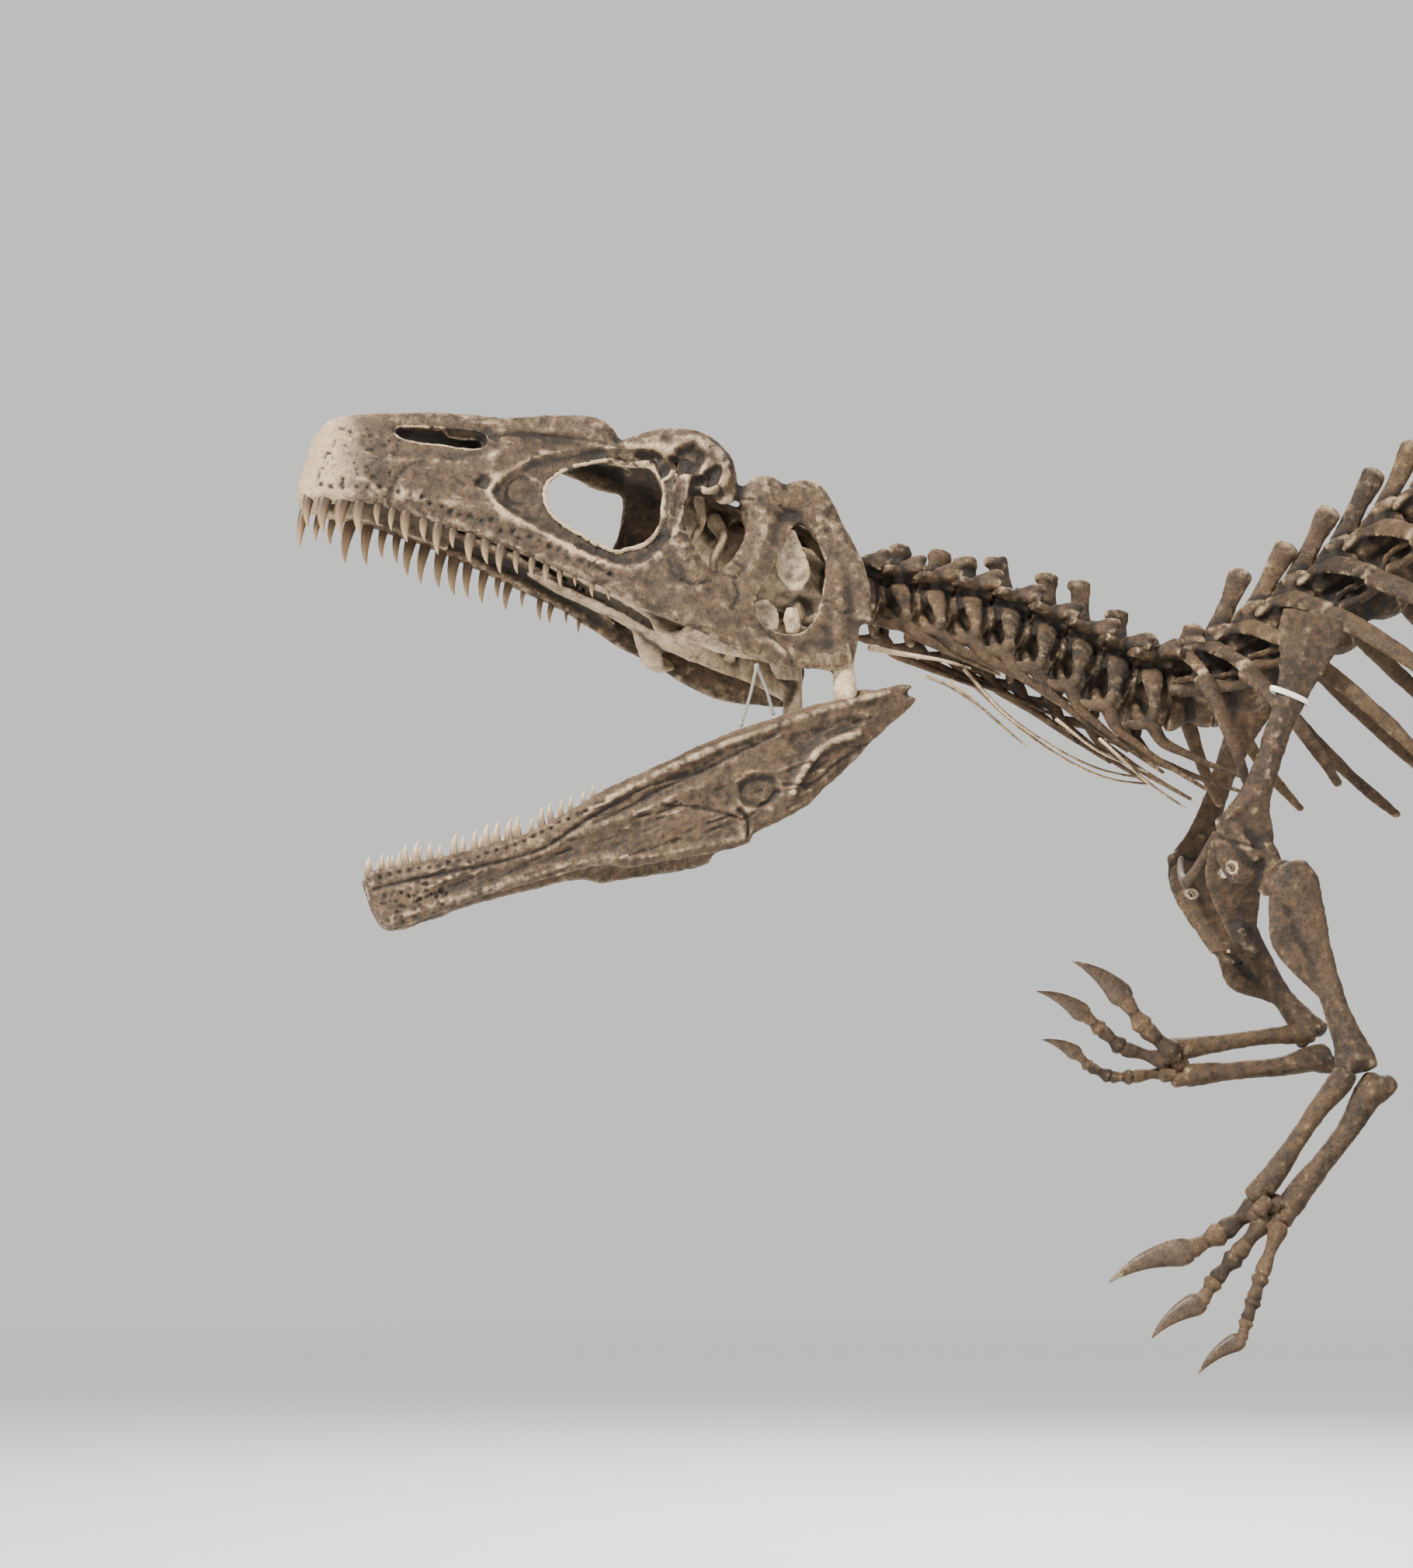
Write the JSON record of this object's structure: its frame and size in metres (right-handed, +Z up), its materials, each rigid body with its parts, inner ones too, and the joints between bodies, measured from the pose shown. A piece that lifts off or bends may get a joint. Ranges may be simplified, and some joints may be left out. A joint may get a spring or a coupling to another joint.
{
  "type": "allosaurid dinosaur skeleton mount",
  "caption": "Life-size mounted skeleton of a large theropod, jaws open and one foot forward, on a flat plinth with upright posts.",
  "frame": {"origin": "centre of the underside of the stand's base", "axes": "+Z up, -X the way the animal faces, -Y toward its left side"},
  "size_m": [6.9812, 1.5, 2.2482],
  "materials": {
    "bone": "matte, mottled brown cast resin or fossil bone",
    "stand_steel": "satin black paint",
    "stand_plinth": "satin dark grey"
  },
  "bodies": {
    "root": {"skull": "bone", "lower_jaw_left": "bone", "lower_jaw_right": "bone", "neck": "bone", "rib_cage_left": "bone", "rib_cage_right": "bone", "sacrum": "bone", "tail_1": "bone", "tail_2": "bone", "tail_3": "bone", "tail_4": "bone", "scapula_left": "bone", "scapula_right": "bone", "furcula": "bone", "humerus_left": "bone", "radius_left": "bone", "ulna_left": "bone", "hand_left": "bone", "humerus_right": "bone", "radius_right": "bone", "ulna_right": "bone", "hand_right": "bone", "ilium_left": "bone", "ilium_right": "bone", "pubis_left": "bone", "pubis_right": "bone", "ischium_left": "bone", "ischium_right": "bone", "femur_left": "bone", "tibia_left": "bone", "fibula_left": "bone", "foot_left": "bone", "femur_right": "bone", "tibia_right": "bone", "fibula_right": "bone", "foot_right": "bone", "stand_post_front": "stand_steel", "stand_post_rear": "stand_steel", "stand_jaw_strut": "stand_steel", "stand_base": "stand_plinth"}
  },
  "joints": []
}
